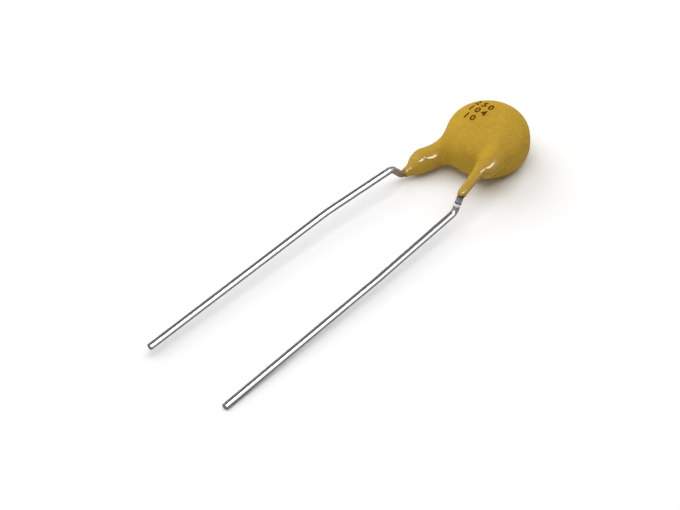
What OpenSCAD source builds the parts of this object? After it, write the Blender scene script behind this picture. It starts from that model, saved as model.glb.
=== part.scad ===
// Radial-lead ceramic disc capacitor in a dipped resin coat, lying as it comes to rest.
//
// Every piece is drawn in the capacitor's own frame: the middle of the ceramic disc at the
// origin, +Z out of the front face, both leads running off along -Y. The rear lead, its
// solder and its side of the coat are the front ones given half a turn about Y. laid_down()
// then tips the whole onto the table, on the three points that it stands on.

/* [Ceramic disc] */
// Diameter of the ceramic disc
ceramic_d = 6.2; // [5.8:0.1:6.8]
// Thickness of the ceramic disc
ceramic_t = 2.2; // [1.9:0.1:2.6]
// Bare rim of ceramic outside each silver electrode
electrode_margin = 0.4; // [0.2:0.05:0.7]
// Thickness of each fired silver electrode
electrode_t = 0.03; // [0.02:0.01:0.05]

/* [Solder] */
// Thickness of the solder film over the silver
solder_film = 0.06; // [0.05:0.01:0.1]
// Solder between the silver and the wire
solder_bed = 0.03; // [0.02:0.01:0.04]
// Solder over the top of the wire
solder_cover = 0.08; // [0.05:0.01:0.15]
// Half width of the solder fillet at its foot
solder_foot = 0.75; // [0.6:0.05:0.9]
// How far inside the electrode's edge the solder stops
solder_inset = 0.1; // [0.05:0.05:0.3]

/* [Leads] */
// Diameter of the tinned copper wire
wire_d = 0.6; // [0.5:0.05:0.65]
// Distance between the two leads just below their kinks
lead_pitch = 7.3; // [6.5:0.1:8]
// Sideways distance of each wire's inner end from the middle of the disc
seat_offset = 1.6; // [1.2:0.1:1.9]
// How far the wire's inner end reaches past the middle of the disc
seat_reach = 0.8; // [0.2:0.1:1.2]
// Length of the kink that brings each lead back to the middle plane
kink_len = 1.05; // [0.9:0.05:1.4]
// Outward step of each lead across its kink
kink_step = 0.12; // [0:0.02:0.3]
// Radius of the two bends of the kink, to the centre of the wire
bend_r = 0.7; // [0.6:0.05:0.8]
// Extra radius of the wire in a bend, where forming has upset it
bend_swell = 0.005; // [0.004:0.001:0.02]
// Radius of the gentle bend in the free length of each lead
sweep_r = 30; // [15:1:40]
// Angle at which the front lead splays out below its kink
front_splay = 2.6; // [2:0.1:5]
// Distance from the kink to the gentle bend of the front lead
front_turn_at = 10; // [6:0.5:16]
// Angle of the front lead past its gentle bend
front_drift = 1.3; // [0.5:0.1:1.8]
// Length of the front lead, from its kink to its cut end
front_length = 29.4; // [24:0.2:34]
// Angle at which the rear lead splays out below its kink
rear_splay = 5.1; // [3:0.1:7]
// Distance from the kink to the gentle bend of the rear lead
rear_turn_at = 7.5; // [6:0.5:16]
// Angle of the rear lead past its gentle bend
rear_drift = 1.1; // [0.5:0.1:2]
// Length of the rear lead, from its kink to its cut end
rear_length = 28.9; // [24:0.2:34]

/* [Coat] */
// Thickness of the coat over the middle of each electrode
coat_face = 1; // [0.9:0.01:1.2]
// Thickness of the coat round the edge of the disc
coat_edge = 0.54; // [0.45:0.01:0.8]
// Squareness of the coat's rim, where 2 is an ellipse
rim_power = 3; // [2.8:0.1:3.8]
// Thickness of the coat over the wire where it crosses the disc
coat_wire = 0.22; // [0.15:0.01:0.4]
// Thickness of the coat on the wire where it has run down to a neck
coat_neck = 0.1; // [0.08:0.01:0.2]
// Thickness of the coat at the lip where it ends
coat_lip = 0.07; // [0.06:0.01:0.1]
// How far the coat runs down the leads from the edge of the ceramic
coat_run = 3.6; // [3.2:0.1:4]
// Distances of the front bulb's three beads from the edge of the ceramic
front_bead_at = [-1.4, -0.4, 0.3]; // [-2:0.1:2.5]
// Outward shifts of the front bulb's beads from the line of the wire
front_bead_out = [0.34, 0.38, 0.24]; // [-1:0.01:1]
// Depths of the front bulb's beads below the line of the wire
front_bead_sink = [0.28, 0.3, 0.2]; // [0:0.01:1]
// Radii of the front bulb's beads
front_bead_r = [1.04, 0.98, 0.72]; // [0.4:0.01:1.3]
// Radius over which the front bulb blends into the disc
front_blend = 0.35; // [0.3:0.05:1.4]
// Distances of the rear bulb's three beads from the edge of the ceramic
rear_bead_at = [-1.6, 0.3, 2.2]; // [-2:0.1:2.5]
// Outward shifts of the rear bulb's beads from the line of the wire
rear_bead_out = [-0.9, -0.1, 0.05]; // [-1:0.01:1]
// Depths of the rear bulb's beads below the line of the wire
rear_bead_sink = [0.8, 0.5, 0.12]; // [0:0.01:1]
// Radii of the rear bulb's beads
rear_bead_r = [1.15, 1, 0.67]; // [0.4:0.01:1.3]
// Radius over which the rear bulb blends into the disc
rear_blend = 1.2; // [0.3:0.05:1.4]
// Cell size of the net drawn over the coat
net_step = 0.25; // [0.22:0.01:0.3]

/* [Hidden] */

disc_fn = 96;
wire_fn = 36;
wire_r = wire_d / 2;
electrode_r = ceramic_d / 2 - electrode_margin;
solder_r = electrode_r - solder_inset;
silver_z = ceramic_t / 2 + electrode_t;
wire_z = silver_z + solder_bed + wire_r;

// Each lead leaves the coat in a straight line, then turns through kink_turn and back.
coat_end = ceramic_d / 2 + coat_run;
kink_turn = atan2(wire_z, norm([kink_len, kink_step]));
kink_top = coat_end + bend_r * tan(kink_turn / 2);
seat_slope = (lead_pitch / 2 - kink_step - seat_offset) / (kink_top + seat_reach);

function unit(v) = v / norm(v);
// Place of a point on the line of the front wire, at a distance y towards the leads
function on_seat(y) = [seat_offset + (y + seat_reach) * seat_slope, -y, wire_z];
function heading(angle) = [sin(angle), -cos(angle), 0];
function kink_foot() = [lead_pitch / 2, -kink_top - kink_len, 0];
function lead_path(splay, turn_at, drift, length) =
    let (turn = kink_foot() + turn_at * heading(splay))
    [
        on_seat(-seat_reach),
        on_seat(kink_top),
        kink_foot(),
        turn,
        turn + (length - turn_at) * heading(drift)
    ];
front_path = lead_path(front_splay, front_turn_at, front_drift, front_length);
rear_path = lead_path(rear_splay, rear_turn_at, rear_drift, rear_length);
path_bends = [0, bend_r, bend_r, sweep_r, 0];

// ---------------------------------------------------------------- the coat as a field
// The coat is where coat_gap() is below zero. It is a lens round the disc, joined by soft
// fillets to a bulb and a thinning thread round each wire, as a dipped resin coat runs.

coat_r = ceramic_d / 2 + coat_edge;
coat_h = silver_z + coat_face;
bulb_blend = 0.35;
tiny = 0.001;

function lens_gap(p) =
    let (
        r = max(norm([p.x, p.y]), tiny),
        h = max(abs(p.z), tiny),
        a = pow(r / coat_r, rim_power),
        b = pow(h / coat_h, rim_power),
        size = pow(a + b, 1 / rim_power)
    )
    (size - 1) * (a + b) / (size * norm([a / r, b / h]));

// Distance from a point to a round rod that runs from bead a to bead b, each [place, radius]
function rod_gap(p, a, b) =
    let (
        along = b[0] - a[0],
        t = min(1, max(0, (p - a[0]) * along / (along * along)))
    )
    norm(p - a[0] - t * along) - a[1] - t * (b[1] - a[1]);
function string_gap(p, beads) =
    min([for (i = [1:len(beads) - 1]) rod_gap(p, beads[i - 1], beads[i])]);
// Lower of two distances, rounded off over a width w where they cross
function soft_min(a, b, w) =
    let (near = max(0, w - abs(a - b)))
    min(a, b) - near * near / (4 * w);

// Smooth run through three values, at t = 0, 1/2 and 1
function through(v, t) = v[0] * (1 - t) * (1 - 2 * t) + v[1] * 4 * t * (1 - t) + v[2] * t * (2 * t - 1);
bulb_steps = 8;
function bulb_beads(at, out, sink, r) = [
    for (i = [0:bulb_steps])
        let (t = i / bulb_steps)
        [on_seat(ceramic_d / 2 + through(at, t)) + [through(out, t), 0, -through(sink, t)], through(r, t)]
];
function thread_beads(neck_y) = [
    [on_seat(-seat_reach + wire_d), wire_r + coat_wire],
    [on_seat(ceramic_d / 2), wire_r + coat_wire],
    [on_seat(neck_y), wire_r + coat_neck],
    [on_seat(coat_end - wire_r), wire_r + coat_lip]
];
front_bulb = bulb_beads(front_bead_at, front_bead_out, front_bead_sink, front_bead_r);
rear_bulb = bulb_beads(rear_bead_at, rear_bead_out, rear_bead_sink, rear_bead_r);
neck_past_bulb = 0.9;
front_thread = thread_beads(ceramic_d / 2 + front_bead_at[2] + neck_past_bulb);
rear_thread = thread_beads(ceramic_d / 2 + rear_bead_at[2] + neck_past_bulb);

function leg_gap(p, bulb, thread) =
    soft_min(string_gap(p, bulb), string_gap(p, thread), bulb_blend);
function half_turn(p) = [-p.x, p.y, -p.z];
function coat_gap(p) =
    let (
        lens = lens_gap(p),
        front = leg_gap(p, front_bulb, front_thread),
        rear = leg_gap(half_turn(p), rear_bulb, rear_thread)
    )
    soft_min(soft_min(lens, front, front_blend), rear, rear_blend);

function coat_slope(p) =
    let (e = 0.01)
    [for (step = [[e, 0, 0], [0, e, 0], [0, 0, e]])
        (coat_gap(p + step) - coat_gap(p - step)) / (2 * e)];
// Slides a nearby point onto the coat's surface
function onto_coat(p, tries = 2) =
    tries == 0 ? p
    : let (slope = coat_slope(p))
        onto_coat(p - slope * coat_gap(p) / (slope * slope), tries - 1);

// ---------------------------------------------------------------- the net over the coat
// One point in each cell that the surface crosses, and one four-sided mesh round each edge
// of the grid that it crosses.

module coat_skin() {
    margin = net_step;
    reach = [coat_r, coat_r, wire_z + wire_r + coat_wire + bulb_blend];
    low = [-max(coat_r, lead_pitch / 2 + wire_d), -coat_end - wire_r, -reach.z]
        - margin * [1, 1, 1];
    high = [-low.x, coat_r + margin, -low.z];
    cells = [for (i = [0:2]) ceil((high[i] - low[i]) / net_step)];
    corners = [for (i = [0, 1]) for (j = [0, 1]) for (k = [0, 1]) [i, j, k]];
    edges = [
        for (a = corners) for (axis = [0:2])
            if (a[axis] == 0)
                [a, [for (i = [0:2]) i == axis ? 1 : a[i]]]
    ];
    field = [
        for (i = [0:cells.x]) [
            for (j = [0:cells.y]) [
                for (k = [0:cells.z]) coat_gap(low + net_step * [i, j, k])
            ]
        ]
    ];
    function gap_at(c) = field[c.x][c.y][c.z];
    function crossed(a, b) = (gap_at(a) < 0) != (gap_at(b) < 0);
    function crossing(a, b) = a + (b - a) * gap_at(a) / (gap_at(a) - gap_at(b));
    function cell_point(c) =
        let (
            hits = [
                for (e = edges)
                    if (crossed(c + e[0], c + e[1])) crossing(c + e[0], c + e[1])
            ],
            middle = [for (h = hits) 1] * hits / len(hits)
        )
        onto_coat(low + net_step * middle);

    all_cells = [
        for (i = [0:cells.x - 1]) for (j = [0:cells.y - 1]) for (k = [0:cells.z - 1]) [i, j, k]
    ];
    used = [
        for (c = all_cells)
            let (
                inside = [for (a = corners) if (gap_at(c + a) < 0) 1],
                n = len(inside)
            )
            n > 0 && n < 8 ? 1 : 0
    ];
    numbers = [for (c = 0, n = 0; c < len(used); n = n + used[c], c = c + 1) n];
    function number(c) = numbers[(c.x * cells.y + c.y) * cells.z + c.z];
    points = [for (i = [0:len(used) - 1]) if (used[i] == 1) cell_point(all_cells[i])];

    // The four cells round the edge that leaves corner c along an axis, in turning order
    turns = [[0, 0], [1, 0], [1, 1], [0, 1]];
    function ring(c, axis) = [
        for (t = turns)
            number([for (i = [0:2]) i == axis ? c[i] : c[i] - t[(i - axis + 2) % 3]])
    ];
    // Each mesh is cut along the diagonal that lies closer to the surface
    function off_surface(a, b) = abs(coat_gap((points[a] + points[b]) / 2));
    function cut_quad(q) =
        off_surface(q[0], q[2]) < off_surface(q[1], q[3])
            ? [[q[0], q[1], q[2]], [q[0], q[2], q[3]]]
            : [[q[1], q[2], q[3]], [q[1], q[3], q[0]]];
    faces = [
        for (c = all_cells) for (axis = [0:2])
            let (far = [for (i = [0:2]) i == axis ? c[i] + 1 : c[i]])
            if (min(c) > 0 && crossed(c, far))
                let (q = ring(c, axis))
                each cut_quad(gap_at(c) < 0 ? [q[3], q[2], q[1], q[0]] : q)
    ];
    polyhedron(points, faces, convexity = 6);
}

// ---------------------------------------------------------------- how it lies
// The capacitor stands on three points: the ridge of coat over the rear wire, the back of
// the lens beside it, and the cut end of the front lead.

// Lowest point of the lens for a given way down
function lens_foot(down) =
    let (
        p = rim_power / (rim_power - 1),
        flat = max(norm([down.x, down.y]), tiny),
        wide = coat_r * flat,
        tall = coat_h * abs(down.z),
        reach = pow(pow(wide, p) + pow(tall, p), 1 / p),
        r = coat_r * pow(wide / reach, p - 1),
        h = coat_h * pow(tall / reach, p - 1)
    )
    [r * down.x / flat, r * down.y / flat, h * sign(down.z)];
// Slides downhill over the coat from a point near it
function slide(down, from, tries = 16) =
    tries == 0 ? from
    : let (
        out = unit(coat_slope(from)),
        downhill = down - (down * out) * out
    )
    slide(down, onto_coat(from + wire_d * downhill, 1), tries - 1);
// Lowest point of the rear ridge, tried from over each bead of its bulb
function ridge_foot(down) =
    let (
        ends = [for (bead = rear_bulb) slide(down, half_turn(bead[0] + [0, 0, bead[1]]))],
        depths = [for (p = ends) p * down]
    )
    ends[search(max(depths), depths)[0]];
// Lowest point of the cut end of a lead
function tip_foot(down, path) =
    let (
        tip = path[len(path) - 1],
        along = unit(tip - path[len(path) - 2])
    )
    tip + wire_r * unit(down - (down * along) * along);
function feet(down) = [
    ridge_foot(down),
    lens_foot(down),
    tip_foot(down, front_path)
];
function settled(down, tries = 6) =
    tries == 0 ? down
    : let (f = feet(down))
    settled(unit(cross(f[1] - f[0], f[2] - f[0])), tries - 1);
down = settled([0, 0, -1]);

// Smallest turn that brings the way down onto -Z
up_axis = -down;
turn_rows = [
    [1 - up_axis.x * up_axis.x / (1 + up_axis.z), -up_axis.x * up_axis.y / (1 + up_axis.z), -up_axis.x],
    [-up_axis.x * up_axis.y / (1 + up_axis.z), 1 - up_axis.y * up_axis.y / (1 + up_axis.z), -up_axis.y],
    up_axis
];
front_tip = turn_rows * front_path[len(front_path) - 1];
rear_tip = turn_rows * half_turn(rear_path[len(rear_path) - 1]);
back_of_lens = turn_rows * lens_foot(turn_rows[1]);
middle = [
    (front_tip.x + rear_tip.x) / 2,
    (min(front_tip.y, rear_tip.y) + back_of_lens.y) / 2,
    (turn_rows * tip_foot(down, front_path)).z
];
module laid_down() {
    multmatrix([for (i = [0:2]) concat(turn_rows[i], [-middle[i]])]) children();
}
module turned_over() {
    rotate([0, 180, 0]) children();
}

// ---------------------------------------------------------------- leads
// Stands a piece drawn along +Z on a point, with its Z axis along z and its X axis along x
module aimed(place, z, x) {
    y = cross(z, x);
    multmatrix([for (i = [0:2]) [x[i], y[i], z[i], place[i]]]) children();
}
function square_to(z) = unit(cross(z, abs(z.z) < 0.9 ? [0, 0, 1] : [1, 0, 0]));
function bend_angle(a, b) = acos(unit(a) * unit(b));
function bend_run(path, i) =
    i == 0 || i == len(path) - 1 ? 0
    : path_bends[i] * tan(bend_angle(path[i] - path[i - 1], path[i + 1] - path[i]) / 2);

// The straight runs reach a little way into the swollen bends
function bend_lap(i, path) = i == 0 || i == len(path) - 1 ? 0 : sqrt(bend_r * bend_swell) / 2;

module wire(path) {
    for (i = [1:len(path) - 1]) {
        along = unit(path[i] - path[i - 1]);
        start = path[i - 1] + (bend_run(path, i - 1) - bend_lap(i - 1, path)) * along;
        end = path[i] - (bend_run(path, i) - bend_lap(i, path)) * along;
        aimed(start, along, square_to(along)) cylinder(r = wire_r, h = norm(end - start), $fn = wire_fn);
    }
    for (i = [1:len(path) - 2]) {
        before = unit(path[i] - path[i - 1]);
        after = unit(path[i + 1] - path[i]);
        inward = unit(after - (after * before) * before);
        centre = path[i] - bend_run(path, i) * before + path_bends[i] * inward;
        aimed(centre, unit(cross(before, inward)), -inward)
            rotate_extrude(angle = bend_angle(before, after), $fn = disc_fn)
                translate([path_bends[i], 0]) circle(r = wire_r + bend_swell, $fn = wire_fn);
    }
}

// ---------------------------------------------------------------- disc and solder
module silver() {
    translate([0, 0, ceramic_t / 2]) cylinder(r = electrode_r, h = electrode_t, $fn = disc_fn);
}

// Half of the solder fillet's section: over the wire, then a hollow curve down to the film
over_r = wire_r + solder_cover;
over_z = solder_bed + wire_r;
hollow_drop = over_z - solder_film;
hollow_r = (pow(solder_foot, 2) + pow(hollow_drop, 2) - pow(over_r, 2)) / (2 * (over_r + hollow_drop));
hollow_tilt = atan2(hollow_r - hollow_drop, solder_foot);
arc_steps = 4;
fillet_half = concat(
    [
        for (i = [1:arc_steps])
            let (a = 90 + (hollow_tilt - 90) * i / arc_steps)
            [over_r * cos(a), over_z + over_r * sin(a)]
    ],
    [
        for (i = [1:arc_steps])
            let (a = 180 + hollow_tilt + (90 - hollow_tilt) * i / arc_steps)
            [solder_foot + hollow_r * cos(a), solder_film + hollow_r * (1 + sin(a))]
    ],
    [[solder_foot, 0]]
);
// One level of the fillet seen from above: round at the heel, then straight along the wire
heel_steps = 10;
function fillet_level(half_width, z) = concat(
    [
        for (i = [0:heel_steps])
            let (a = 90 + 180 * i / heel_steps)
            [half_width * cos(a), half_width * sin(a), z]
    ],
    [
        [electrode_r * 2, -half_width, z],
        [electrode_r * 2, half_width, z]
    ]
);
module fillet() {
    n = heel_steps + 3;
    levels = len(fillet_half);
    polyhedron(
        [for (f = fillet_half) each fillet_level(f.x, f.y)],
        concat(
            [[for (i = [n - 1:-1:0]) i]],
            [for (k = [0:levels - 2]) for (i = [0:n - 1])
                [k * n + i, k * n + (i + 1) % n, (k + 1) * n + (i + 1) % n]],
            [for (k = [0:levels - 2]) for (i = [0:n - 1])
                [k * n + i, (k + 1) * n + (i + 1) % n, (k + 1) * n + i]],
            [[for (i = [0:n - 1]) (levels - 1) * n + i]]
        )
    );
}
// The film and the fillet, with the wire's place still filled
module solder_mass() {
    heel = on_seat(-seat_reach);
    seat_dir = unit(on_seat(0) - heel);
    intersection() {
        translate([0, 0, silver_z]) cylinder(r = solder_r, h = wire_d * 2, $fn = disc_fn);
        union() {
            translate([0, 0, silver_z]) cylinder(r = electrode_r, h = solder_film, $fn = disc_fn);
            aimed([heel.x, heel.y, silver_z], [0, 0, 1], seat_dir) fillet();
        }
    }
}
module solder() {
    difference() {
        solder_mass();
        wire(front_path);
    }
}

// ---------------------------------------------------------------- pieces
module coating() {
    color("#bf9a3a") laid_down() difference() {
        coat_skin();
        cylinder(d = ceramic_d, h = ceramic_t, center = true, $fn = disc_fn);
        silver();
        turned_over() silver();
        solder_mass();
        turned_over() solder_mass();
        wire(front_path);
        turned_over() wire(rear_path);
    }
}
module ceramic_disc() {
    color("#9c7b5c") laid_down() cylinder(d = ceramic_d, h = ceramic_t, center = true, $fn = disc_fn);
}
module front_electrode() {
    color("#d9d7cf") laid_down() silver();
}
module rear_electrode() {
    color("#d9d7cf") laid_down() turned_over() silver();
}
module front_solder() {
    color("#a3a6a8") laid_down() solder();
}
module rear_solder() {
    color("#a3a6a8") laid_down() turned_over() solder();
}
module front_lead() {
    color("#c9cacb") laid_down() wire(front_path);
}
module rear_lead() {
    color("#c9cacb") laid_down() turned_over() wire(rear_path);
}

coating();
ceramic_disc();
front_electrode();
rear_electrode();
front_solder();
rear_solder();
front_lead();
rear_lead();
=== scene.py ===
"""Ceramic disc capacitor: the looks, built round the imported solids.

Run as a script in Blender. Each piece has an operator and a few settings, listed in the
Capacitor panel of the 3D view's sidebar.
"""

import math

import bmesh
import bpy
from mathutils import Matrix, Vector
from mathutils.bvhtree import BVHTree


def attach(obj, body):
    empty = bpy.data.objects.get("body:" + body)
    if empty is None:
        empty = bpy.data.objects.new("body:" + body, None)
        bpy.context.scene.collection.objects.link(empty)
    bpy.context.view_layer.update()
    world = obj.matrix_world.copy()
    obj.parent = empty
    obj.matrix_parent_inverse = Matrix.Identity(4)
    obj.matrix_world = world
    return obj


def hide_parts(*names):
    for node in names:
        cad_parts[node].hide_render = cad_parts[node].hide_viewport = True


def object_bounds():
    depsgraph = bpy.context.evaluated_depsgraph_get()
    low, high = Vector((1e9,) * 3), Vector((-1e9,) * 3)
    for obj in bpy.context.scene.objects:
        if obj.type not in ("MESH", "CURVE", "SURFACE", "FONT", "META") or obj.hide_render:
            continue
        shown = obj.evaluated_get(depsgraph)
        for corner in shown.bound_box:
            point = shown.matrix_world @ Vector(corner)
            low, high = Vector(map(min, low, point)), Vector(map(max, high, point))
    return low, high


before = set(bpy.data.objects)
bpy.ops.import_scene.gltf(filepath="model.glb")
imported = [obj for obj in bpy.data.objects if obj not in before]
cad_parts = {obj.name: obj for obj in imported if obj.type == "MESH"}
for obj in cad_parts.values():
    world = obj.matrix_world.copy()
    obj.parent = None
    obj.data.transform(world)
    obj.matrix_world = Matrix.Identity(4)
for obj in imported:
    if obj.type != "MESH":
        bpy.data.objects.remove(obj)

bl_info = {
    "name": "Ceramic disc capacitor",
    "version": (1, 0, 0),
    "blender": (4, 5, 0),
    "location": "View3D > Sidebar > Capacitor",
    "description": "Dresses a dip-coated ceramic disc capacitor with its coat, ink, wires and stage",
    "category": "Object",
}

MM = 0.001
CAD_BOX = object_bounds()


# ------------------------------------------------------------------ where things are
# A face of the disc belongs to its front where its normal rises by at least this share
FRONT_RISE = 0.9


def disc_matrix():
    """Frame of the ceramic disc: its middle, X across the leads, -Y down the leads, Z out of
    the front face."""
    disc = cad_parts["ceramic_disc"].data
    out, middle, area = Vector(), Vector(), 0.0
    for face in disc.polygons:
        middle += face.area * face.center
        area += face.area
        if face.normal.z > FRONT_RISE:
            out += face.area * face.normal
    turn = Vector((0, 0, 1)).rotation_difference(out.normalized())
    return Matrix.Translation(middle / area) @ turn.to_matrix().to_4x4()


DISC = disc_matrix()

# The front wire's line, in mm in the disc's frame. It starts over the silver, beside the middle
# and above it, and runs straight down to its kink, where two arcs bring it back to the disc's
# middle plane. It bends once more, gently, in its free length. The rear wire's line is the front
# one given half a turn about Y, with a free length of its own.
SEAT_SIDE, SEAT_REACH, WIRE_HEIGHT = 1.6, 0.8, 1.46
# Where the kink starts, the radius of its arcs, its length, its outward step, and the distance
# between the two wires below their kinks
BEND_FROM, BEND_RADIUS = 6.7, 0.7
KINK_LENGTH, KINK_STEP, LEAD_PITCH = 1.05, 0.12, 7.3
# Radius of the gentle bend, and for each free length its angle at the kink in degrees, its
# distance to the gentle bend, its angle past it and its whole length
SWEEP_RADIUS = 30
FRONT_RUN = (2.6, 10, 1.3, 29.4)
REAR_RUN = (5.1, 7.5, 1.1, 28.9)

KINK_ANGLE = math.atan2(WIRE_HEIGHT, math.hypot(KINK_LENGTH, KINK_STEP))
KINK_TOP = BEND_FROM + BEND_RADIUS * math.tan(KINK_ANGLE / 2)
KINK_SIDE = LEAD_PITCH / 2 - KINK_STEP
# How far each leg spreads for each mm down, and its place across the disc at the middle's height
LEG_SPREAD = (KINK_SIDE - SEAT_SIDE) / (KINK_TOP + SEAT_REACH)
LEG_ROOT = SEAT_SIDE + SEAT_REACH * LEG_SPREAD


def leg_line(side, y):
    """Point on the straight part of a wire's line, above the kink."""
    return Vector((side * (LEG_ROOT - y * LEG_SPREAD), y, side * WIRE_HEIGHT))


def heading(degrees):
    """Direction down the leads, splayed out by an angle."""
    return Vector((math.sin(math.radians(degrees)), -math.cos(math.radians(degrees)), 0))


def wire_line(side, run):
    """Corners of a wire's line, each with the radius of its bend."""
    splay, bend_at, drift, whole = run
    foot = Vector((LEAD_PITCH / 2, -KINK_TOP - KINK_LENGTH, 0))
    sweep = foot + bend_at * heading(splay)
    corners = (
        (Vector((SEAT_SIDE, SEAT_REACH, WIRE_HEIGHT)), 0),
        (Vector((KINK_SIDE, -KINK_TOP, WIRE_HEIGHT)), BEND_RADIUS),
        (foot, BEND_RADIUS),
        (sweep, SWEEP_RADIUS),
        (sweep + (whole - bend_at) * heading(drift), 0),
    )
    return [(Vector((side * p.x, p.y, side * p.z)), radius) for p, radius in corners]


def linear(hex_colour):
    """Linear RGBA of an sRGB hex colour such as c09c38."""
    channels = [int(hex_colour[i:i + 2], 16) / 255 for i in (0, 2, 4)]
    return [c / 12.92 if c <= 0.04045 else ((c + 0.055) / 1.055) ** 2.4 for c in channels] + [1.0]


# ------------------------------------------------------------------ settings
def length(name, description, millimetres):
    return bpy.props.FloatProperty(
        name=name, description=description, default=millimetres * MM,
        min=0.0, precision=6, unit="LENGTH", subtype="DISTANCE",
    )


def colour(name, description, hex_colour):
    return bpy.props.FloatVectorProperty(
        name=name, description=description, default=linear(hex_colour)[:3],
        size=3, min=0.0, max=1.0, subtype="COLOR",
    )


def factor(name, description, default):
    return bpy.props.FloatProperty(
        name=name, description=description, default=default, min=0.0, max=1.0, subtype="FACTOR",
    )


def count(name, description, default, low, high):
    return bpy.props.IntProperty(name=name, description=description, default=default, min=low, max=high)


class CAPACITOR_PG_coat(bpy.types.PropertyGroup):
    resin: colour("Resin", "Colour of the pigmented epoxy", "c6a033")
    resin_thin: colour("Thin resin", "Colour where the resin is thin and pools of pigment differ", "ae8a2b")
    body_roughness: factor("Body roughness", "Roughness of the satin body", 0.62)
    leg_roughness: factor("Leg roughness", "Roughness of the legs, where the resin has run smooth", 0.09)
    satin_reach: length("Satin reach", "Distance from the disc's middle at which the resin turns glossy", 4.0)
    glossy_from: length("Glossy from", "Distance from the disc's middle at which it is fully glossy", 4.9)
    front_creep: length("Front creep", "How far the wet resin crept on down the front wire", 0.62)
    rear_creep: length("Rear creep", "How far it crept on down the rear wire", 0.2)
    settle: count("Settle", "Rounds that level the ripples", 24, 0, 40)
    refine: count("Refine", "Subdivision levels of the coat", 2, 0, 3)


class CAPACITOR_PG_mark(bpy.types.PropertyGroup):
    ink: colour("Ink", "Colour of the printed figures", "5a2c02")
    ink_worn: colour("Worn ink", "Colour of the figures where the ink is thin", "7e5208")
    height: length("Figure height", "Height of one printed figure", 0.7)
    pitch: length("Figure pitch", "Distance from one figure to the next", 0.66)
    proud: length("Ink thickness", "How far the ink stands off the coat", 0.006)
    slant: bpy.props.FloatProperty(
        name="Slant", description="Turn of the printed rows on the face",
        default=math.radians(5.7), unit="ROTATION", subtype="ANGLE",
    )


class CAPACITOR_PG_wire(bpy.types.PropertyGroup):
    radius: length("Wire radius", "Radius of the tinned wire", 0.3)
    tin: colour("Tin", "Colour of the tin plate", "e6e6e6")
    copper: colour("Copper", "Colour of the copper core in the cut ends", "b08468")
    roughness: factor("Roughness", "Roughness of the clean tin plate", 0.1)
    sides: count("Sides", "Faces round the wire", 32, 8, 64)


class CAPACITOR_PG_stage(bpy.types.PropertyGroup):
    floor: colour("Floor", "Colour of the floor", "fbfbfb")
    # Painted shade: the grey in which metal mirrors the floor, darker than the floor the camera sees
    card: colour("Card", "Colour of the unlit card that metal mirrors in place of the floor", "808084")
    floor_side: length("Floor side", "Side of the floor", 3000)


# ------------------------------------------------------------------ helpers
def add(tree, kind, values=None, links=None, **attributes):
    """Adds a node, sets its attributes and input values, and links sockets into it."""
    node = tree.nodes.new(kind)
    for name, value in attributes.items():
        setattr(node, name, value)
    for socket, value in (values or {}).items():
        node.inputs[socket].default_value = value
    for socket, source in (links or {}).items():
        tree.links.new(source, node.inputs[socket])
    return node


def new_material(name):
    material = bpy.data.materials.new(name)
    material.use_nodes = True
    tree = material.node_tree
    tree.nodes.clear()
    return material, tree


def finish_solid(tree, shader, bump=None):
    add(tree, "ShaderNodeOutputMaterial", links={"Surface": shader.outputs["BSDF"]})
    if bump:
        tree.links.new(bump.outputs["Normal"], shader.inputs["Normal"])


def show(obj, body="root"):
    """Puts a new object in the scene and lets it ride on a body."""
    bpy.context.scene.collection.objects.link(obj)
    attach(obj, body)
    return obj


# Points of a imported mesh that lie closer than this, in metres, are one point
SAME_POINT = 2e-7


def merged_mesh(node, name):
    """A copy of a CAD node's mesh with its loose triangles joined."""
    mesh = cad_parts[node].data.copy()
    mesh.name = name
    bm = bmesh.new()
    bm.from_mesh(mesh)
    bmesh.ops.remove_doubles(bm, verts=bm.verts, dist=SAME_POINT)
    bm.to_mesh(mesh)
    bm.free()
    mesh.materials.clear()
    return mesh


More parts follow.
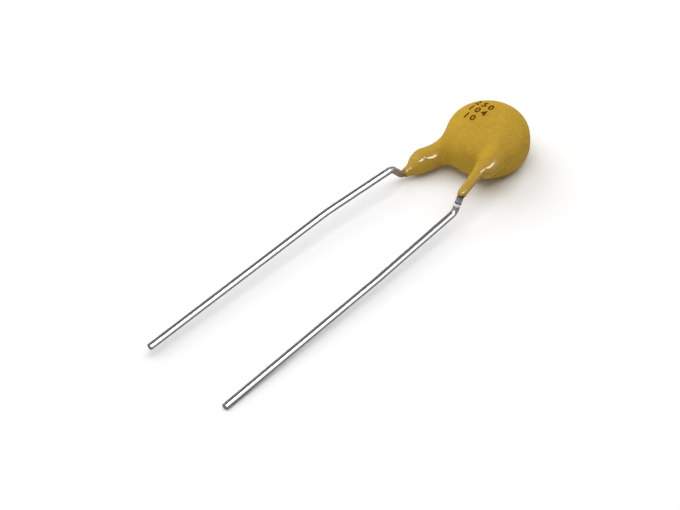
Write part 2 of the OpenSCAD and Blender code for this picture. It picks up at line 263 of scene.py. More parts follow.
# ------------------------------------------------------------------ materials
def epoxy_dip_coat(coat):
    """Pigmented epoxy, dipped and oven cured: an opaque ochre skin with a faint mottle of
    pigment, satin over the disc and glossier on the legs, where the resin ran and pooled."""
    material, tree = new_material("pigmented_epoxy_dip_coat")
    # Pigment clouds, grain of the filler, drawn coarser than it is so that it shows, and soft
    # waves of the cured skin
    cloud_width, grain_width, wave_length = 1.5 * MM, 0.12 * MM, 0.4 * MM
    wave_depth = 0.004 * MM
    # How strongly the clouds tint the grain, and how much rougher or smoother they are
    cloud_share, cloud_unevenness = 0.35, 0.03
    # Levels of mirroring on the legs and on the body, where the filler breaks the skin, and how
    # much rougher than the legs the resin is when it has reached the lower one
    leg_mirror, body_mirror, mirror_fades_over = 0.5, 0.1, 0.15

    place = add(tree, "ShaderNodeTexCoord").outputs["Object"]
    clouds = add(tree, "ShaderNodeTexNoise", {"Scale": 1 / cloud_width, "Detail": 3.0}, {"Vector": place})
    grain = add(tree, "ShaderNodeTexNoise", {"Scale": 1 / grain_width, "Detail": 2.0}, {"Vector": place})
    both = add(
        tree, "ShaderNodeMath", {1: cloud_share}, {0: clouds.outputs["Fac"], 2: grain.outputs["Fac"]},
        operation="MULTIPLY_ADD",
    )
    thin = add(
        tree, "ShaderNodeMapRange", {"From Min": 0.5, "From Max": 0.85}, {"Value": both.outputs["Value"]},
    )
    tone = add(
        tree, "ShaderNodeMix", {"A": [*coat.resin, 1.0], "B": [*coat.resin_thin, 1.0]},
        {"Factor": thin.outputs["Result"]}, data_type="RGBA",
    )
    # The legs, away from the disc's middle, are glossy
    away = add(tree, "ShaderNodeVectorMath", {1: DISC.translation}, {0: place}, operation="DISTANCE")
    gloss = add(
        tree, "ShaderNodeMapRange",
        {
            "From Min": coat.satin_reach, "From Max": coat.glossy_from,
            "To Min": coat.body_roughness, "To Max": coat.leg_roughness,
        },
        {"Value": away.outputs["Value"]}, interpolation_type="SMOOTHSTEP",
    )
    uneven = add(
        tree, "ShaderNodeMath", {1: 2 * cloud_unevenness, 2: -cloud_unevenness},
        {0: clouds.outputs["Fac"]}, operation="MULTIPLY_ADD",
    )
    roughness = add(
        tree, "ShaderNodeMath", None, {0: gloss.outputs["Result"], 1: uneven.outputs["Value"]},
        operation="ADD",
    )
    mirror = add(
        tree, "ShaderNodeMapRange",
        {
            "From Min": coat.leg_roughness, "From Max": coat.leg_roughness + mirror_fades_over,
            "To Min": leg_mirror, "To Max": body_mirror,
        },
        {"Value": gloss.outputs["Result"]},
    )
    waves = add(tree, "ShaderNodeTexNoise", {"Scale": 1 / wave_length, "Detail": 1.0}, {"Vector": place})
    bump = add(
        tree, "ShaderNodeBump", {"Strength": 0.35, "Distance": wave_depth}, {"Height": waves.outputs["Fac"]},
    )
    shader = add(
        tree, "ShaderNodeBsdfPrincipled", {"IOR": 1.55},
        {
            "Base Color": tone.outputs["Result"], "Roughness": roughness.outputs["Value"],
            "Specular IOR Level": mirror.outputs["Result"],
        },
    )
    finish_solid(tree, shader, bump)
    return material


def printing_ink(mark):
    """Solvent ink stamped on the cured coat: a thin matte red-brown film, uneven in strength."""
    material, tree = new_material("stamped_solvent_ink")
    # Patches of thinner ink, and how much of the worn colour they reach
    patch_width, most_worn = 0.15 * MM, 0.45
    place = add(tree, "ShaderNodeTexCoord").outputs["Object"]
    patches = add(tree, "ShaderNodeTexNoise", {"Scale": 1 / patch_width, "Detail": 2.0}, {"Vector": place})
    worn = add(
        tree, "ShaderNodeMapRange", {"From Min": 0.45, "From Max": 0.75, "To Max": most_worn},
        {"Value": patches.outputs["Fac"]},
    )
    tone = add(
        tree, "ShaderNodeMix", {"A": [*mark.ink, 1.0], "B": [*mark.ink_worn, 1.0]},
        {"Factor": worn.outputs["Result"]}, data_type="RGBA",
    )
    shader = add(
        tree, "ShaderNodeBsdfPrincipled", {"Roughness": 0.9, "IOR": 1.45, "Specular IOR Level": 0.05},
        {"Base Color": tone.outputs["Result"]},
    )
    finish_solid(tree, shader)
    return material


def tinned_copper(wire, name, stains_and_reflections, clean_from):
    """Copper wire, drawn and hot tinned: bright metal with faint marks of the die along it. Where it
    leaves the coat it is stained by the oven, and its kink carries painted reflections and a painted
    highlight. Each stain or painted reflection is the distance along the wire in mm, its colour, its
    roughness and the share of bare metal that shows. From clean_from mm on the tin is clean."""
    material, tree = new_material(name)
    # Die lines lie side by side and run on for 50 times their width
    line_width, line_depth, line_shrink = 0.05 * MM, 0.003 * MM, 1 / 50
    # The tin is cloudy in patches that are up to this much rougher
    patch_width, patch_dullness = 0.8 * MM, 0.06
    # The edges of the stains and painted reflections wander, in lobes as wide as they wander far
    wander_by = 0.2 * MM

    place = add(tree, "ShaderNodeTexCoord").outputs["Object"]
    stretched = add(tree, "ShaderNodeMapping", {"Scale": (1.0, line_shrink, 1.0)}, {"Vector": place})
    lines = add(
        tree, "ShaderNodeTexNoise", {"Scale": 1 / line_width, "Detail": 2.0},
        {"Vector": stretched.outputs["Vector"]},
    )
    patches = add(tree, "ShaderNodeTexNoise", {"Scale": 1 / patch_width, "Detail": 3.0}, {"Vector": place})
    dull = add(
        tree, "ShaderNodeMapRange", {"From Min": 0.35, "From Max": 0.75, "To Max": patch_dullness},
        {"Value": patches.outputs["Fac"]},
    )
    run = add(tree, "ShaderNodeAttribute", attribute_name="run")
    ragged = add(tree, "ShaderNodeTexNoise", {"Scale": 1 / wander_by, "Detail": 2.0}, {"Vector": place})
    wander = add(
        tree, "ShaderNodeMath", {1: wander_by}, {0: ragged.outputs["Fac"], 2: run.outputs["Fac"]},
        operation="MULTIPLY_ADD",
    )
    stops = [(at, linear(shade)[:3], rough, bare) for at, shade, rough, bare in stains_and_reflections]
    stops.append((clean_from, wire.tin, wire.roughness, 1.0))
    first, last = stops[0][0], stops[-1][0]
    along = add(
        tree, "ShaderNodeMapRange",
        {"From Min": first * MM + wander_by / 2, "From Max": last * MM + wander_by / 2},
        {"Value": wander.outputs["Value"]},
    )
    # One ramp carries the colour and, as its alpha, the roughness; the other the bare metal
    finish = add(tree, "ShaderNodeValToRGB", links={"Fac": along.outputs["Result"]})
    metal = add(tree, "ShaderNodeValToRGB", links={"Fac": along.outputs["Result"]})
    for ramp in (finish.color_ramp, metal.color_ramp):
        while len(ramp.elements) < len(stops):
            ramp.elements.new(0.5)
    for i, (at, shade, rough, bare) in enumerate(stops):
        values = ((finish.color_ramp, [*shade, rough]), (metal.color_ramp, [bare, bare, bare, 1.0]))
        for ramp, value in values:
            ramp.elements[i].position = (at - first) / (last - first)
            ramp.elements[i].color = value
    roughness = add(
        tree, "ShaderNodeMath", None, {0: finish.outputs["Alpha"], 1: dull.outputs["Result"]},
        operation="ADD",
    )
    bump = add(
        tree, "ShaderNodeBump", {"Strength": 0.25, "Distance": line_depth}, {"Height": lines.outputs["Fac"]},
    )
    shader = add(
        tree, "ShaderNodeBsdfPrincipled", None,
        {
            "Base Color": finish.outputs["Color"], "Roughness": roughness.outputs["Value"],
            "Metallic": metal.outputs["Color"],
        },
    )
    finish_solid(tree, shader, bump)
    return material


def sheared_copper(wire):
    """Cut end of the wire: the copper core, torn and smeared with tin by the shears."""
    material, tree = new_material("sheared_copper_end")
    tear_width, tear_depth = 0.06 * MM, 0.01 * MM
    place = add(tree, "ShaderNodeTexCoord").outputs["Object"]
    tears = add(tree, "ShaderNodeTexNoise", {"Scale": 1 / tear_width, "Detail": 3.0}, {"Vector": place})
    smear = add(
        tree, "ShaderNodeMapRange", {"From Min": 0.3, "From Max": 0.5}, {"Value": tears.outputs["Fac"]},
    )
    tone = add(
        tree, "ShaderNodeMix", {"A": [*wire.copper, 1.0], "B": [*wire.tin, 1.0]},
        {"Factor": smear.outputs["Result"]}, data_type="RGBA",
    )
    bump = add(
        tree, "ShaderNodeBump", {"Strength": 0.5, "Distance": tear_depth}, {"Height": tears.outputs["Fac"]},
    )
    shader = add(
        tree, "ShaderNodeBsdfPrincipled", {"Metallic": 1.0, "Roughness": 0.42},
        {"Base Color": tone.outputs["Result"]},
    )
    finish_solid(tree, shader, bump)
    return material


def plain_finish(name, light, dark, grain_mm, roughness, metallic):
    """A matte inner finish with grains of two close tones."""
    material, tree = new_material(name)
    grain_depth = 0.01 * MM
    place = add(tree, "ShaderNodeTexCoord").outputs["Object"]
    grain = add(tree, "ShaderNodeTexNoise", {"Scale": 1 / (grain_mm * MM), "Detail": 3.0}, {"Vector": place})
    tone = add(
        tree, "ShaderNodeMix", {"A": linear(light), "B": linear(dark)}, {"Factor": grain.outputs["Fac"]},
        data_type="RGBA",
    )
    bump = add(
        tree, "ShaderNodeBump", {"Strength": 0.3, "Distance": grain_depth}, {"Height": grain.outputs["Fac"]},
    )
    shader = add(
        tree, "ShaderNodeBsdfPrincipled", {"Roughness": roughness, "Metallic": metallic},
        {"Base Color": tone.outputs["Result"]},
    )
    finish_solid(tree, shader, bump)
    return material


# ------------------------------------------------------------------ coat
# Places on the legs are distances in mm down from the disc's middle.
# The legs are drawn out from LIP_FROM on, and in full from LIP_TO on, where they have swollen by
# the share LIP_SWELL. Below LIP_TIGHT the resin is too thin on the wire to be levelled.
LIP_FROM, LIP_TIGHT, LIP_TO = 5.0, 6.2, 6.6
LIP_SWELL = 0.09
# How far the first arc of the kink leans back to the middle, for each mm that it drops
KINK_BACK = 0.09
# Bulbs of the legs: where each starts, is full, eases and ends, and the share by which it swells
FRONT_BULB = (2.4, 4.0, 4.5, 6.4, 0.22)
REAR_BULB = (3.0, 5.1, 5.2, 6.75, 0.38)
# Distance from the wire's line up to which the swelling is full, and at which it has died out
LEG_REACH, LEG_EDGE = 0.95, 1.425
# The net's triangles are joined in pairs that lie within NET_FLAT of each other and make a face
# within NET_SQUARE of a square. An edge that folds by more than NET_FOLD is sharp.
NET_FLAT, NET_SQUARE, NET_FOLD = math.radians(50), math.radians(60), math.radians(40)
# Each round of levelling pulls the points in and then a little farther out, to keep the volume
LEVEL_PULLS = (0.5, -0.53)
# Rounds in which the net is moved out until the smoothed coat passes through it
NET_ROUNDS = 4


def smooth_step(value, low, high):
    """Rises smoothly from 0 at low to 1 at high."""
    share = min(max((value - low) / (high - low), 0.0), 1.0)
    return share * share * (3 - 2 * share)


class CAPACITOR_OT_coat(bpy.types.Operator):
    """Makes the epoxy coat from its solid, smoothed as the wet resin was"""
    bl_idname = "capacitor.coat"
    bl_label = "Epoxy coat"

    def execute(self, context):
        coat = context.scene.capacitor_coat
        mesh = merged_mesh("coating", "epoxy_coat")
        bm = bmesh.new()
        bm.from_mesh(mesh)
        bmesh.ops.join_triangles(
            bm, faces=bm.faces, angle_face_threshold=NET_FLAT, angle_shape_threshold=NET_SQUARE,
        )
        self.fill_out_legs(bm)
        self.draw_out_lips(bm, coat)
        skin = self.outer_skin(bm)
        self.level([v for v in skin if (DISC.inverted() @ v.co).y > -LIP_TIGHT * MM], coat.settle)
        skin = [v.index for v in skin]
        bm.to_mesh(mesh)
        bm.free()
        mesh.shade_smooth()
        mesh.materials.append(epoxy_dip_coat(coat))
        obj = bpy.data.objects.new("epoxy_coat", mesh)
        finer = obj.modifiers.new("wet_smoothness", "SUBSURF")
        finer.levels = finer.render_levels = coat.refine
        show(obj)
        self.keep_on_net(context, obj, skin)
        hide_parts("coating")
        return {"FINISHED"}

    def fill_out_legs(self, bm):
        """Swells the bulbs that hang on the legs, sideways and towards the disc's plane."""
        to_disc = DISC.inverted()
        for vertex in bm.verts:
            place = to_disc @ vertex.co / MM
            side = math.copysign(1, place.z)
            start, full, ease, end, most = FRONT_BULB if side > 0 else REAR_BULB
            out = place - leg_line(side, place.y)
            share = most * smooth_step(-place.y, start, full) * (1 - smooth_step(-place.y, ease, end))
            share *= 1 - smooth_step(out.length, LEG_REACH, LEG_EDGE)
            if share:
                place.x += share * out.x
                place.z += share * (out.z if side * out.z < 0 else 0)
                vertex.co = DISC @ (place * MM)

    def draw_out_lips(self, bm, coat):
        """Draws the last of each leg down the wire and round the start of its bend."""
        to_disc = DISC.inverted()
        for vertex in bm.verts:
            place = to_disc @ vertex.co / MM
            side = math.copysign(1, place.z)
            share = smooth_step(-place.y, LIP_FROM, LIP_TO)
            drop = (coat.front_creep if side > 0 else coat.rear_creep) / MM * share
            # The drawn resin stays clear of the wire inside it
            hub = leg_line(side, place.y)
            place.x += LIP_SWELL * share * (place.x - hub.x)
            place.z += LIP_SWELL * share * (place.z - hub.z)
            down = drop - place.y
            spread = drop * LEG_SPREAD
            turn = max(down - BEND_FROM, 0.0) / BEND_RADIUS
            if turn:
                arm = BEND_RADIUS + side * place.z - WIRE_HEIGHT
                sideways = LEG_SPREAD * (turn - math.sin(turn)) + KINK_BACK * (1 - math.cos(turn))
                spread -= BEND_RADIUS * sideways
                down = BEND_FROM + arm * math.sin(turn)
                place.z = side * (WIRE_HEIGHT - BEND_RADIUS + arm * math.cos(turn))
            if drop:
                vertex.co = DISC @ (Vector((place.x + side * spread, -down, place.z)) * MM)

    def outer_skin(self, bm):
        """Creases the sharp edges, where the coat ends, and gives the points of the skin outside
        them."""
        crease = bm.edges.layers.float.new("crease_edge")
        for edge in bm.edges:
            if edge.calc_face_angle(math.pi) > NET_FOLD:
                edge[crease] = 1.0
        bm.verts.index_update()
        found = {max(bm.verts, key=lambda v: v.co.z)}
        front = list(found)
        while front:
            vertex = front.pop()
            for edge in vertex.link_edges:
                other = edge.other_vert(vertex)
                if other not in found and not any(e[crease] for e in other.link_edges):
                    found.add(other)
                    front.append(other)
        return sorted(found, key=lambda v: v.index)

    def level(self, skin, rounds):
        """Levels small ripples of the skin and keeps its volume."""
        for _ in range(rounds):
            for pull in LEVEL_PULLS:
                moves = [
                    (v, sum((e.other_vert(v).co for e in v.link_edges), Vector()) / len(v.link_edges) - v.co)
                    for v in skin
                ]
                for vertex, move in moves:
                    vertex.co += pull * move

    def keep_on_net(self, context, obj, skin):
        """Moves the net's points out so that the smoothed coat passes through where they were."""
        wanted = [obj.data.vertices[i].co.copy() for i in skin]
        for _ in range(NET_ROUNDS):
            smooth = obj.evaluated_get(context.evaluated_depsgraph_get()).to_mesh()
            places = [smooth.vertices[i].co.copy() for i in skin]
            for i, place, want in zip(skin, places, wanted):
                obj.data.vertices[i].co += want - place
            obj.data.update()


# ------------------------------------------------------------------ printed figures
# Rows of figures: the middle of each row on the face, in mm from the disc's middle
MARK_ROWS = (("250", (-1.71, 1.48)), ("104", (-1.70, 0.56)), ("10", (-1.71, -0.44)))
# A figure is first drawn flat, about one unit high: made bolder by a small offset, given a front
# and a back, and its arcs drawn in a few steps
FIGURE_OFFSET, FIGURE_DEPTH, FIGURE_ARCS = 0.036, 0.5, 4
# Strips that it is cut into each way, so that it can bend over the coat, and the distance within
# which two of its points are one
FIGURE_CUTS, FIGURE_MERGE = 8, 1e-5
# Height over the disc's middle, in mm, that clears the whole coat
OVER_COAT = 6


def on_coat(surface, x, y):
    """Point and outward normal of the coat's front above a point of the disc."""
    out = DISC.to_3x3() @ Vector((0, 0, 1))
    start = DISC @ Vector((x, y, OVER_COAT * MM))
    place, normal, _, _ = surface.ray_cast(start, -out)
    if place is None:
        raise RuntimeError("a printed figure lies off the coat")
    return place, normal


def flat_figure(figure):
    """One figure as a closed flat solid, cut across both ways, with its middle and its height."""
    text = bpy.data.curves.new("figure", "FONT")
    text.body = figure
    text.align_x = "CENTER"
    text.resolution_u = FIGURE_ARCS
    text.offset = FIGURE_OFFSET
    text.extrude = FIGURE_DEPTH
    holder = bpy.data.objects.new("figure", text)
    bpy.context.scene.collection.objects.link(holder)
    mesh = bpy.data.meshes.new_from_object(holder)
    bpy.data.objects.remove(holder)
    bpy.data.curves.remove(text)
    part = bmesh.new()
    part.from_mesh(mesh)
    bpy.data.meshes.remove(mesh)
    bmesh.ops.remove_doubles(part, verts=part.verts, dist=FIGURE_MERGE)
    xs = [v.co.x for v in part.verts]
    ys = [v.co.y for v in part.verts]
    left, right, foot, head = min(xs), max(xs), min(ys), max(ys)
    for low, high, way in ((left, right, Vector((1, 0, 0))), (foot, head, Vector((0, 1, 0)))):
        for k in range(1, FIGURE_CUTS):
            bmesh.ops.bisect_plane(
                part, geom=[*part.verts, *part.edges, *part.faces], dist=FIGURE_MERGE,
                plane_co=way * (low + (high - low) * k / FIGURE_CUTS), plane_no=way,
            )
    return part, Vector(((left + right) / 2, (foot + head) / 2, 0)), head - foot


class CAPACITOR_OT_mark(bpy.types.Operator):
    """Prints the rows of figures on the front of the coat as thin ink"""
    bl_idname = "capacitor.mark"
    bl_label = "Printed figures"

    def execute(self, context):
        mark = context.scene.capacitor_mark
        coat = bpy.data.objects["epoxy_coat"]
        surface = BVHTree.FromObject(coat, context.evaluated_depsgraph_get())
        ink = printing_ink(mark)
        row_turn = Matrix.Rotation(mark.slant, 3, "Z")
        bm = bmesh.new()
        for figures, (x, y) in MARK_ROWS:
            for i, figure in enumerate(figures):
                offset = row_turn @ Vector(((i - (len(figures) - 1) / 2) * mark.pitch, 0, 0))
                middle = Vector((x * MM, y * MM, 0)) + offset
                self.stamp(bm, surface, figure, middle, row_turn, mark)
        mesh = bpy.data.meshes.new("printed_figures")
        bm.to_mesh(mesh)
        bm.free()
        mesh.materials.append(ink)
        obj = show(bpy.data.objects.new("printed_figures", mesh))
        return {"FINISHED"}

    def stamp(self, bm, surface, figure, middle, row_turn, mark):
        """Adds one figure as a thin closed solid that follows the coat."""
        part, centre, high = flat_figure(figure)
        size = mark.height / high
        for v in part.verts:
            flat_place = row_turn @ ((v.co - centre) * size)
            place, normal = on_coat(surface, middle.x + flat_place.x, middle.y + flat_place.y)
            v.co = place + normal * (mark.proud if v.co.z > 0 else -2 * mark.proud)
        bmesh.ops.recalc_face_normals(part, faces=part.faces)
        scratch = bpy.data.meshes.new("figure")
        part.to_mesh(scratch)
        part.free()
        bm.from_mesh(scratch)
        bpy.data.meshes.remove(scratch)


# ------------------------------------------------------------------ wires
# Each stain or painted reflection: mm along the wire, colour, roughness, share of bare metal.
# Front wire: dark grey from the lip of the coat down its kink, partly scorch and partly a painted
# reflection of the dark room, with dark bands round a pale ring: a painted highlight of the bend
SCORCH_AND_PAINTED_REFLECTIONS = (
    (8.25, "2a2826", 0.4, 0.5), (8.45, "8c8884", 0.4, 0.3), (8.75, "b0aeac", 0.35, 0.3),
    # Painted highlight: the pale, almost non-metallic ring, with painted dark reflections on either side
    (8.9, "282624", 0.35, 0.8), (8.98, "f4f4f4", 0.45, 0.1), (9.14, "f4f4f4", 0.45, 0.1),
    (9.24, "a4a2a0", 0.3, 0.5),
)
# Rear wire: dull, a brown film of flux at the lip, then a painted reflection of the ochre coat down its kink
FLUX_AND_PAINTED_REFLECTION = (
    (8.1, "94743c", 0.4, 0.2), (8.5, "a08a64", 0.4, 0.3), (9.1, "a49c94", 0.35, 0.4),
    (9.9, "bab6b0", 0.3, 0.7),
)
# Wires: piece, solid that it replaces, side of the disc, free length, stains and painted reflections,
# where the tin is clean, in mm along the wire
WIRES = (
    ("front_wire", "front_lead", 1, FRONT_RUN, SCORCH_AND_PAINTED_REFLECTIONS, 9.5),
    ("rear_wire", "rear_lead", -1, REAR_RUN, FLUX_AND_PAINTED_REFLECTION, 10.8),
)
# Points round each bend, distance from one ring of faces to the next in mm, and the angle past
# which an edge is a crisp one
BEND_POINTS, RING_SPACING, CRISP = 48, 0.1, math.radians(50)


def wire_tree():
    """Node tree that sweeps a round wire along a line, rounding each corner by its own radius,
    and keeps the distance along it as the attribute run."""
    tree = bpy.data.node_groups.new("swept_wire", "GeometryNodeTree")
    sockets = {}
    for name, kind, where in (
        ("Line", "NodeSocketGeometry", "INPUT"), ("Wire radius", "NodeSocketFloat", "INPUT"),
        ("Finish", "NodeSocketMaterial", "INPUT"), ("Sides", "NodeSocketInt", "INPUT"),
        ("Ring spacing", "NodeSocketFloat", "INPUT"), ("Wire", "NodeSocketGeometry", "OUTPUT"),
    ):
        sockets[name] = tree.interface.new_socket(name=name, in_out=where, socket_type=kind).identifier
    given = add(tree, "NodeGroupInput")
    line = add(tree, "GeometryNodeMeshToCurve", links={"Mesh": given.outputs["Line"]})
    bend = add(tree, "GeometryNodeInputNamedAttribute", {"Name": "bend"}, data_type="FLOAT")
    rounded = add(
        tree, "GeometryNodeFilletCurve", {"Count": BEND_POINTS, "Limit Radius": True},
        {"Curve": line.outputs["Curve"], "Radius": bend.outputs["Attribute"]}, mode="POLY",
    )
    rings = add(
        tree, "GeometryNodeResampleCurve", None,
        {"Curve": rounded.outputs["Curve"], "Length": given.outputs["Ring spacing"]}, mode="LENGTH",
    )
    along = add(tree, "GeometryNodeSplineParameter")
    measured = add(
        tree, "GeometryNodeStoreNamedAttribute", {"Name": "run"},
        {"Geometry": rings.outputs["Curve"], "Value": along.outputs["Length"]},
        data_type="FLOAT", domain="POINT",
    )
    section = add(
        tree, "GeometryNodeCurvePrimitiveCircle", None,
        {"Resolution": given.outputs["Sides"], "Radius": given.outputs["Wire radius"]}, mode="RADIUS",
    )
    swept = add(
        tree, "GeometryNodeCurveToMesh", {"Fill Caps": True},
        {"Curve": measured.outputs["Geometry"], "Profile Curve": section.outputs["Curve"]},
    )
    real = add(tree, "GeometryNodeRealizeInstances", links={"Geometry": swept.outputs["Mesh"]})
    dressed = add(
        tree, "GeometryNodeSetMaterial", None,
        {"Geometry": real.outputs["Geometry"], "Material": given.outputs["Finish"]},
    )
    add(tree, "NodeGroupOutput", links={"Wire": dressed.outputs["Geometry"]})
    return tree, sockets


class CAPACITOR_OT_wires(bpy.types.Operator):
    """Makes the two tinned wires along the centre lines of their solids"""
    bl_idname = "capacitor.wires"
    bl_label = "Lead wires"

    def execute(self, context):
        wire = context.scene.capacitor_wire
        cut = sheared_copper(wire)
        tree, sockets = wire_tree()
        for name, node, side, run, stains_and_reflections, clean_from in WIRES:
            tin = tinned_copper(wire, name + "_tinned_copper", stains_and_reflections, clean_from)
            guide = self.guide(context, name + "_line", wire_line(side, run))
            sweep = guide.modifiers.new("sweep", "NODES")
            sweep.node_group = tree
            sweep[sockets["Finish"]] = tin
            sweep[sockets["Wire radius"]] = wire.radius
            sweep[sockets["Sides"]] = wire.sides
            sweep[sockets["Ring spacing"]] = RING_SPACING * MM
            mesh = bpy.data.meshes.new_from_object(guide.evaluated_get(context.evaluated_depsgraph_get()))
            line = guide.data
            bpy.data.objects.remove(guide)
            bpy.data.meshes.remove(line)
            mesh.name = name
            self.finish_ends(mesh, cut)
            obj = show(bpy.data.objects.new(name, mesh))
            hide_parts(node)
        bpy.data.node_groups.remove(tree)
        return {"FINISHED"}

    def guide(self, context, name, line):
        """The wire's line as a chain of edges, with the radius of each bend as an attribute."""
        mesh = bpy.data.meshes.new(name)
        places = [DISC @ (place * MM) for place, _ in line]
        mesh.from_pydata(places, [(i, i + 1) for i in range(len(places) - 1)], [])
        bend = mesh.attributes.new("bend", "FLOAT", "POINT")
        for i, (_, radius) in enumerate(line):
            bend.data[i].value = radius * MM
        obj = bpy.data.objects.new(name, mesh)
        context.scene.collection.objects.link(obj)
        return obj

    def finish_ends(self, mesh, cut):
        """Gives the cut ends, the only faces with more than four sides, their own finish and
        keeps their edges crisp."""
        mesh.materials.append(cut)
        mesh.shade_smooth()
        for face in mesh.polygons:
            if len(face.vertices) > 4:
                face.material_index = 1
        mesh.set_sharp_from_angle(angle=CRISP)


# ------------------------------------------------------------------ core
class CAPACITOR_OT_core(bpy.types.Operator):
    """Gives the ceramic disc, its silver and its solder their finishes"""
    bl_idname = "capacitor.core"
    bl_label = "Ceramic core"

    def execute(self, context):
        # Barium titanate, pressed and sintered: fine matte brown grain
        ceramic = plain_finish(
            "sintered_barium_titanate", "9c7b5c", "82654a", grain_mm=0.15, roughness=0.7, metallic=0.0,
        )
        # Silver paste, screened and fired: dull and slightly rough
        silver = plain_finish(
            "fired_silver_paste", "dcdad2", "c4c2ba", grain_mm=0.08, roughness=0.45, metallic=1.0,
        )
        # Tin solder, dipped: grey and grainy
        solder = plain_finish(
            "dipped_tin_solder", "b4b6b8", "8f9294", grain_mm=0.2, roughness=0.38, metallic=1.0,
        )
        for node, material in (
            ("ceramic_disc", ceramic), ("front_electrode", silver), ("rear_electrode", silver),
            ("front_solder", solder), ("rear_solder", solder),
        ):
            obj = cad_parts[node]
            if not obj.material_slots:
                raise RuntimeError("the solid has no material slot: " + node)
            for slot in obj.material_slots:
                slot.link = "OBJECT"
                slot.material = material
        return {"FINISHED"}


# ------------------------------------------------------------------ stage
# The camera's view of the disc: turned round the leads, raised over the front face
VIEW_TURN = math.radians(43.29)
VIEW_RISE = math.radians(48.4)
# The picture in pixels, where the middle of the disc stands in it, and its scale
PICTURE = (680, 510)
DISC_AT = (487.7, 139.5)
PIXELS_PER_MM = 11.68
# The camera's distance and the width of its sensor in mm, and its near and far limits in metres
CAMERA_AWAY = 1800
SENSOR = 36
CAMERA_SEES = (0.5, 20.0)
# Soft boxes: name, way to it in the disc's frame, power in watts; their distance and side in metres
SOFT_BOXES = (
    ("top_box", (0, 0.1, 1), 4.4), ("left_box", (-1, 0, 0.6), 4.6), ("back_box", (0, 1, 0.6), 2.5),
    ("front_box", (0, -1, 0.6), 1.5),
)
BOX_AWAY, BOX_SIDE = 0.8, 0.8
# Mirror cards: name, way to it, its two sides in metres, power in watts; their distance in metres
MIRROR_CARDS = (
    ("long_card", (0.5, 0.14, 0.85), 0.22, 0.46, 3.4), ("small_card", (0.15, -0.42, 0.88), 0.12, 0.2, 1.1),
)
CARD_AWAY = 0.6
# The room that mirrors see: dim, with a bright window wall to the right and back, and a pale
# ceiling in front and high up
ROOM_LIGHT, WINDOW_LIGHT, CEILING_LIGHT = 0.17, 1.3, 0.5
# Where a way through the room starts to meet each of its sides, and where it meets it in full
ROOM_SIDES = (
    ("right", "X", 0.05, 0.45), ("back", "Y", 0.1, 0.4), ("front", "Y", 0.25, -0.05), ("high", "Z", 0.1, 0.8),
)


def camera_axes():
    """Right, up and back of the camera in the row frame."""
    right = Vector((math.cos(VIEW_TURN), math.sin(VIEW_TURN), 0))
    level = math.cos(VIEW_RISE)
    back = Vector((math.sin(VIEW_TURN) * level, -math.cos(VIEW_TURN) * level, math.sin(VIEW_RISE)))
    turned = DISC.to_3x3()
    return turned @ right, turned @ back.cross(right), turned @ back


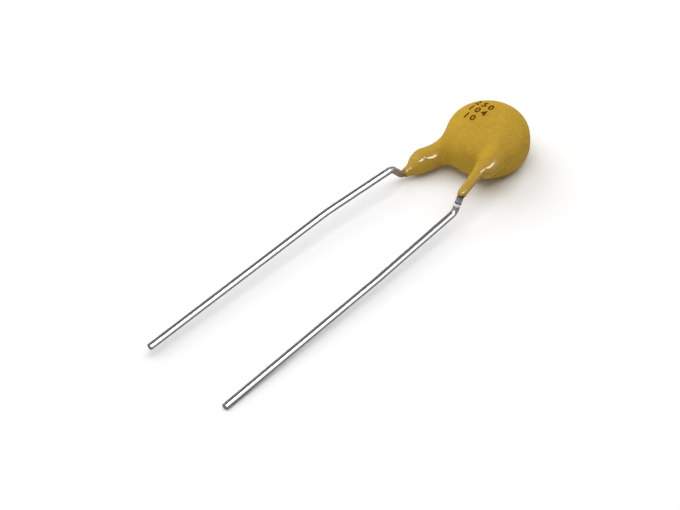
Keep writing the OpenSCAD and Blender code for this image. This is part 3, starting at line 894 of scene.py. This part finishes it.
class CAPACITOR_OT_stage(bpy.types.Operator):
    """Makes the pale floor, the soft studio light and the camera"""
    bl_idname = "capacitor.stage"
    bl_label = "Stage"

    def execute(self, context):
        self.floor(context, context.scene.capacitor_stage)
        self.world(context)
        middle = (CAD_BOX[0] + CAD_BOX[1]) / 2
        # Soft boxes over the part and round it, brightest from the top and the left
        for name, way, watts in SOFT_BOXES:
            self.lamp(context, name, middle, way, BOX_AWAY, BOX_SIDE, watts).visible_glossy = False
        # Bright cards overhead, which only mirrors see, draw the wet highlights
        for name, way, wide, deep, watts in MIRROR_CARDS:
            card = self.lamp(context, name, middle, way, CARD_AWAY, wide, watts)
            card.visible_diffuse = False
            card.data.shape = "RECTANGLE"
            card.data.size_y = deep
        self.camera(context)
        context.scene.view_settings.view_transform = "Standard"
        return {"FINISHED"}

    def floor(self, context, stage):
        half = stage.floor_side / 2
        corners = [(-half, -half, 0), (half, -half, 0), (half, half, 0), (-half, half, 0)]
        mesh = bpy.data.meshes.new("floor")
        mesh.from_pydata(corners, [], [(0, 1, 2, 3)])
        material, tree = new_material("white_paper_floor")
        light = add(tree, "ShaderNodeLightPath")
        # Painted shade: metal mirrors the floor in the grey card colour, darker than the white the camera
        # sees
        tone = add(
            tree, "ShaderNodeMix", {"A": [*stage.floor, 1.0], "B": [*stage.card, 1.0]},
            {"Factor": light.outputs["Is Glossy Ray"]}, data_type="RGBA",
        )
        shader = add(tree, "ShaderNodeBsdfDiffuse", None, {"Color": tone.outputs["Result"]})
        add(tree, "ShaderNodeOutputMaterial", links={"Surface": shader.outputs["BSDF"]})
        mesh.materials.append(material)
        obj = bpy.data.objects.new("floor", mesh)
        context.scene.collection.objects.link(obj)

    def world(self, context):
        world = bpy.data.worlds.new("studio")
        context.scene.world = world
        world.use_nodes = True
        tree = world.node_tree
        tree.nodes.clear()
        light = add(tree, "ShaderNodeLightPath")
        sky = add(tree, "ShaderNodeTexCoord")
        way = add(tree, "ShaderNodeSeparateXYZ", links={"Vector": sky.outputs["Generated"]})
        seen = {}
        for side, axis, start, full in ROOM_SIDES:
            ramp = add(
                tree, "ShaderNodeMapRange", {"From Min": start, "From Max": full},
                {"Value": way.outputs[axis]},
            )
            seen[side] = ramp.outputs["Result"]
        window = add(tree, "ShaderNodeMath", None, {0: seen["right"], 1: seen["back"]}, operation="MULTIPLY")
        wall = add(
            tree, "ShaderNodeMapRange", {"To Min": ROOM_LIGHT, "To Max": WINDOW_LIGHT},
            {"Value": window.outputs["Value"]},
        )
        ceiling = add(tree, "ShaderNodeMath", None, {0: seen["front"], 1: seen["high"]}, operation="MULTIPLY")
        room = add(
            tree, "ShaderNodeMath", {1: CEILING_LIGHT},
            {0: ceiling.outputs["Value"], 2: wall.outputs["Result"]}, operation="MULTIPLY_ADD",
        )
        # Mirrors see the room and the camera sees white; nothing else is lit by the world
        mirrored = add(
            tree, "ShaderNodeMix", {"A": 0.0},
            {"Factor": light.outputs["Is Glossy Ray"], "B": room.outputs["Value"]},
        )
        strength = add(
            tree, "ShaderNodeMix", {"B": 1.0},
            {"Factor": light.outputs["Is Camera Ray"], "A": mirrored.outputs["Result"]},
        )
        shader = add(
            tree, "ShaderNodeBackground", {"Color": (1, 1, 1, 1)}, {"Strength": strength.outputs["Result"]},
        )
        add(tree, "ShaderNodeOutputWorld", links={"Surface": shader.outputs["Background"]})

    def lamp(self, context, name, target, way, away, size, watts):
        """Adds a square lamp at a distance from a target, facing it."""
        data = bpy.data.lights.new(name, "AREA")
        data.shape = "SQUARE"
        data.size = size
        data.energy = watts
        obj = bpy.data.objects.new(name, data)
        turned = DISC.to_3x3()
        way = turned @ Vector(way).normalized()
        side = (turned @ Vector((0, 1, 0))).cross(way)
        side.normalize()
        faced = Matrix((side, way.cross(side), way)).transposed().to_4x4()
        obj.matrix_world = Matrix.Translation(target + way * away) @ faced
        context.scene.collection.objects.link(obj)
        return obj

    def camera(self, context):
        """Adds the camera so that the disc stands at its place in the picture."""
        data = bpy.data.cameras.new("camera")
        data.sensor_width = SENSOR
        data.lens = SENSOR * CAMERA_AWAY / (PICTURE[0] / PIXELS_PER_MM)
        data.clip_start, data.clip_end = CAMERA_SEES
        obj = bpy.data.objects.new("camera", data)
        right, up, back = camera_axes()
        across = (PICTURE[0] / 2 - DISC_AT[0]) / PIXELS_PER_MM * MM
        raised = (DISC_AT[1] - PICTURE[1] / 2) / PIXELS_PER_MM * MM
        target = DISC.translation + right * across + up * raised
        turn = Matrix((right, up, back)).transposed().to_4x4()
        obj.matrix_world = Matrix.Translation(target + back * (CAMERA_AWAY * MM)) @ turn
        context.scene.collection.objects.link(obj)
        context.scene.camera = obj


# ------------------------------------------------------------------ panel
OPERATORS = (
    CAPACITOR_OT_coat, CAPACITOR_OT_mark, CAPACITOR_OT_wires, CAPACITOR_OT_core, CAPACITOR_OT_stage,
)
GROUPS = {
    "capacitor_coat": CAPACITOR_PG_coat,
    "capacitor_mark": CAPACITOR_PG_mark,
    "capacitor_wire": CAPACITOR_PG_wire,
    "capacitor_stage": CAPACITOR_PG_stage,
}


class CAPACITOR_PT_panel(bpy.types.Panel):
    """Settings and steps of the capacitor"""
    bl_label = "Ceramic disc capacitor"
    bl_idname = "CAPACITOR_PT_panel"
    bl_space_type = "VIEW_3D"
    bl_region_type = "UI"
    bl_category = "Capacitor"

    def draw(self, context):
        for name, group in GROUPS.items():
            box = self.layout.box()
            for setting in group.__annotations__:
                box.prop(getattr(context.scene, name), setting)
        for operator in OPERATORS:
            self.layout.operator(operator.bl_idname)


CLASSES = (*GROUPS.values(), *OPERATORS, CAPACITOR_PT_panel)


def register():
    for item in CLASSES:
        bpy.utils.register_class(item)
    for name, group in GROUPS.items():
        setattr(bpy.types.Scene, name, bpy.props.PointerProperty(type=group))


def unregister():
    for name in GROUPS:
        delattr(bpy.types.Scene, name)
    for item in reversed(CLASSES):
        bpy.utils.unregister_class(item)


def main():
    register()
    bpy.ops.capacitor.coat()
    bpy.ops.capacitor.mark()
    bpy.ops.capacitor.wires()
    bpy.ops.capacitor.core()
    bpy.ops.capacitor.stage()


if __name__ == "__main__":
    main()
